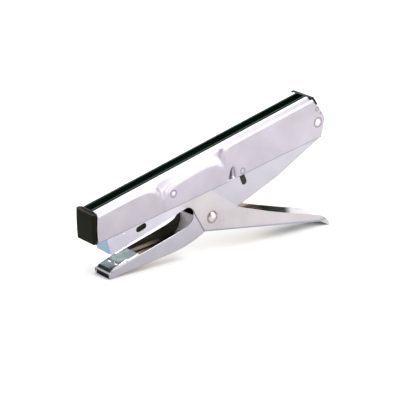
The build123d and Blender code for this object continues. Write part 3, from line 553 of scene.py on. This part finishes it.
# the sheet grows outwards from its rows, so its faces lie one sheet outside the part's; it is thinner
# where the relief comes near the handle's arms, which moves its outer face
ARM_ROOM, THINNEST = 8.08, 0.25
sheet_group = cover.vertex_groups.new(name="sheet")
for vert in cover.data.vertices:
    room = abs(vert.co.y) / MM - ARM_ROOM
    on_side = abs(vert.co.y) / MM > COVER_OUT - CORNER_R
    weight = min(1.0, max(THINNEST, room) / SHEET) if on_side else 1.0
    sheet_group.add([vert.index], weight, "REPLACE")
modifier(cover, "SOLIDIFY", thickness=SHEET * MM, offset=-1.0, vertex_group="sheet")
SHARP = math.radians(50)
modifier(cover, "BEVEL", width=0.15 * MM, segments=2, limit_method="ANGLE", angle_limit=SHARP)


# ---------------------------------------------------------------- strip: a flat band with two ridges
STRIP_START, STRIP_END, STRIP_HALF, STRIP_H, RIDGE_H = 0.3, 172.6, 5.1, 0.9, 0.28
STRIP_LIFT, RIDGE_STEPS = 0.01, 8


def strip_rows():
    """The strip's section at its front and at its rear."""
    half = [(STRIP_HALF, 0.0), (STRIP_HALF, 0.45), (STRIP_HALF - 0.15, 0.7), (STRIP_HALF - 0.45, 0.85)]
    for i in range(RIDGE_STEPS + 1):
        a = i / RIDGE_STEPS
        half.append((STRIP_RIDGE_W + 0.5 - a, STRIP_H - 0.05 + RIDGE_H * math.sin(math.pi * a) ** 2))
    section = half + [(-w, h) for w, h in reversed(half)]
    return [[at(u, COVER_TOP + STRIP_LIFT + h, w) for w, h in section] for u in (STRIP_START, STRIP_END)]


strip_mesh = grid_mesh("ridged_strip", strip_rows())
ends = bmesh.new()
ends.from_mesh(strip_mesh)
ends.faces.ensure_lookup_table()
# one face closes the underside and both ends together
rim_edges = [e for e in ends.edges if e.is_boundary]
bmesh.ops.contextual_create(ends, geom=rim_edges)
bmesh.ops.recalc_face_normals(ends, faces=ends.faces)
ends.to_mesh(strip_mesh)
ends.free()
strip = new_piece("ridged_strip", strip_mesh, "head", mats["strip"], "black_plastic", "top_strip")
modifier(strip, "BEVEL", width=0.08 * MM, segments=2, limit_method="ANGLE", angle_limit=SHARP)


# ---------------------------------------------------------------- parts with rounded edges
FLAT, CORNER, SOFT_EDGE = math.radians(1.0), 0.8, math.radians(35)


def softened(node, body, material, slot_name, width, wide=0.0, wide_edge=None, reshape=None):
    """A copy of a part whose sharp edges are rounded off, some of them more."""
    source = frame["nodes"][node]
    work = bmesh.new()
    work.from_mesh(source.data)
    work.transform(source.matrix_world)
    bmesh.ops.remove_doubles(work, verts=work.verts, dist=1e-6)
    bmesh.ops.dissolve_limit(work, angle_limit=FLAT, verts=work.verts, edges=work.edges)
    if wide_edge:
        joined = [e for e in work.edges if len(e.link_faces) == 2]
        chosen = [e for e in joined if e.calc_face_angle() > CORNER and wide_edge(e)]
        bmesh.ops.bevel(
            work, geom=chosen, offset=wide * MM, segments=4, profile=0.5, affect="EDGES", clamp_overlap=True,
        )
    if reshape:
        reshape(work)
    mesh = bpy.data.meshes.new("soft_" + node)
    work.to_mesh(mesh)
    work.free()
    obj = new_piece("soft_" + node, mesh, body, material, slot_name, node)
    modifier(obj, "BEVEL", width=width * MM, segments=3, limit_method="ANGLE", angle_limit=SOFT_EDGE)
    modifier(obj, "WEIGHTED_NORMAL", keep_sharp=True)


ARM_DIR, JOGGLE, JOGGLE_AT = (-0.73, 0.683), 0.48, (26.5, 29.5)
FOOT_HALF, FOOT_LENGTH = 8.5, 60


def joggle_arms(work):
    """The handle's arms step inwards, beyond the frame's plates, to pass the cover's relief."""
    out = at(ARM_DIR[0], ARM_DIR[1]) - at(0, 0)
    for reach in JOGGLE_AT:
        spot = at(MAIN_PIVOT[0] + ARM_DIR[0] * reach, MAIN_PIVOT[1] + ARM_DIR[1] * reach)
        everything = work.verts[:] + work.edges[:] + work.faces[:]
        bmesh.ops.bisect_plane(work, geom=everything, plane_co=spot, plane_no=out)
    limit = (at(*MAIN_PIVOT) + out * JOGGLE_AT[1]).dot(out.normalized()) - 1e-6
    for vert in work.verts:
        if vert.co.dot(out.normalized()) > limit and vert.co.z > at(*MAIN_PIVOT).z:
            vert.co.y -= math.copysign(JOGGLE * MM, vert.co.y)


def handle_foot(edge):
    """The handle's lengthwise lower corners."""
    ends = [vert.co for vert in edge.verts]
    low = all(abs(abs(co.y) / MM - FOOT_HALF) < 0.05 for co in ends)
    return low and edge.calc_length() > FOOT_LENGTH * MM


softened("frame_channel", "frame", mats["frame"], "nickel_steel", 0.16)
softened("handle_lever", "handle", mats["handle"], "nickel_steel", 0.16, 1.0, handle_foot, joggle_arms)
softened("magazine_channel", "magazine", mats["magazine"], "nickel_steel", 0.12)
softened("nose_plate", "magazine", mats["nose"], "nickel_steel", 0.15)
softened("anvil_plate", "frame", mats["anvil"], "anvil_chrome", 0.22)
softened("front_cap", "head", mats["black"], "black_plastic", 0.3)
softened("rear_cap", "rear_cap", mats["black"], "black_plastic", 0.2)


# ---------------------------------------------------------------- pusher spring, a copy of the part carried by the pusher
slide = next(j for j in frame["record"]["behaviour"]["joints"] if j["name"] == "pusher_slide")
slide_axis = Vector(slide["axis"])
coil_mesh = frame["nodes"]["pusher_spring"].data.copy()
coil = new_piece("coil_spring", coil_mesh, "pusher", mats["spring"], "spring_steel", "pusher_spring")
coil_front = min((vert.co for vert in coil.data.vertices), key=lambda co: co.dot(slide_axis)).copy()
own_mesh(coil)


# ---------------------------------------------------------------- return spring, a single leg, copied in place on no body
leg_mesh = frame["nodes"]["return_spring"].data.copy()
turned = new_piece("leg_spring", leg_mesh, None, mats["spring"], "spring_steel", "return_spring")
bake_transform(turned)


# ---------------------------------------------------------------- camera
LOOK = at(81.01, -34.16)
BACK = Vector((-0.6066, -0.7231, 0.3303)).normalized()
DISTANCE = 1.240
ROLL = math.radians(2.315)
LENS, SENSOR = 179.4, 36.0
cam_data = bpy.data.cameras.new("camera")
cam = bpy.data.objects.new("camera", cam_data)
scene.collection.objects.link(cam)
cam_data.lens = LENS
cam_data.sensor_width = SENSOR
cam.location = LOOK + BACK * DISTANCE
turn = (-BACK).to_track_quat("-Z", "Y").to_matrix() @ Matrix.Rotation(ROLL, 3, "Z")
cam.rotation_euler = turn.to_euler()
cam_data.clip_start = 0.05
cam_data.clip_end = 20.0
scene.camera = cam


# ---------------------------------------------------------------- floor and light
FLOOR_HALF, FLOOR_ALBEDO, WORLD = 4.0, (0.80, 0.80, 0.80), 0.5
# name, place, target, size and watts
LIGHTS = (
    ("sky", (0.40, 0.85, 0.75), (0, 0, 0.05), (1.2, 0.8), 13.0),
    ("overhead", (0.32, -0.42, 1.05), (0.10, -0.1, 0.0), (0.9, 1.7), 13.0),
    ("key", (-0.6, -0.5, 0.9), (0, 0, 0.04), (0.7, 0.7), 3.0),
    ("side", (0.62, -0.95, 0.40), (0, 0, 0.20), (1.1, 0.78), 9.5),
)


def stage_plane(name, size, colour):
    mesh = bpy.data.meshes.new(name)
    corners = [(-size, -size, 0), (size, -size, 0), (size, size, 0), (-size, size, 0)]
    mesh.from_pydata(corners, [], [(0, 1, 2, 3)])
    obj = bpy.data.objects.new(name, mesh)
    scene.collection.objects.link(obj)
    n = Nodes(name)
    n.bsdf.inputs["Roughness"].default_value = 0.8
    n.bsdf.inputs["Specular IOR Level"].default_value = 0.1
    cloud = n.noise(n.place(), 3.0)
    darker = tuple(c * 0.985 for c in colour)
    n.link(n.ramp(cloud, ((0.3, darker), (0.7, colour))), n.bsdf.inputs["Base Color"])
    mesh.materials.append(n.mat)


stage_plane("floor", FLOOR_HALF, FLOOR_ALBEDO)


def area_light(name, place, target, size, power):
    data = bpy.data.lights.new(name, "AREA")
    data.shape = "RECTANGLE"
    data.size, data.size_y = size
    data.energy = power
    obj = bpy.data.objects.new(name, data)
    scene.collection.objects.link(obj)
    obj.location = place
    obj.rotation_euler = (Vector(target) - Vector(place)).to_track_quat("-Z", "Y").to_euler()


for light in LIGHTS:
    area_light(*light)

world = bpy.data.worlds.new("world")
world.use_nodes = True
world.node_tree.nodes["Background"].inputs["Color"].default_value = (1.0, 1.0, 1.0, 1)
world.node_tree.nodes["Background"].inputs["Strength"].default_value = WORLD
scene.world = world
scene.view_settings.view_transform = "Standard"
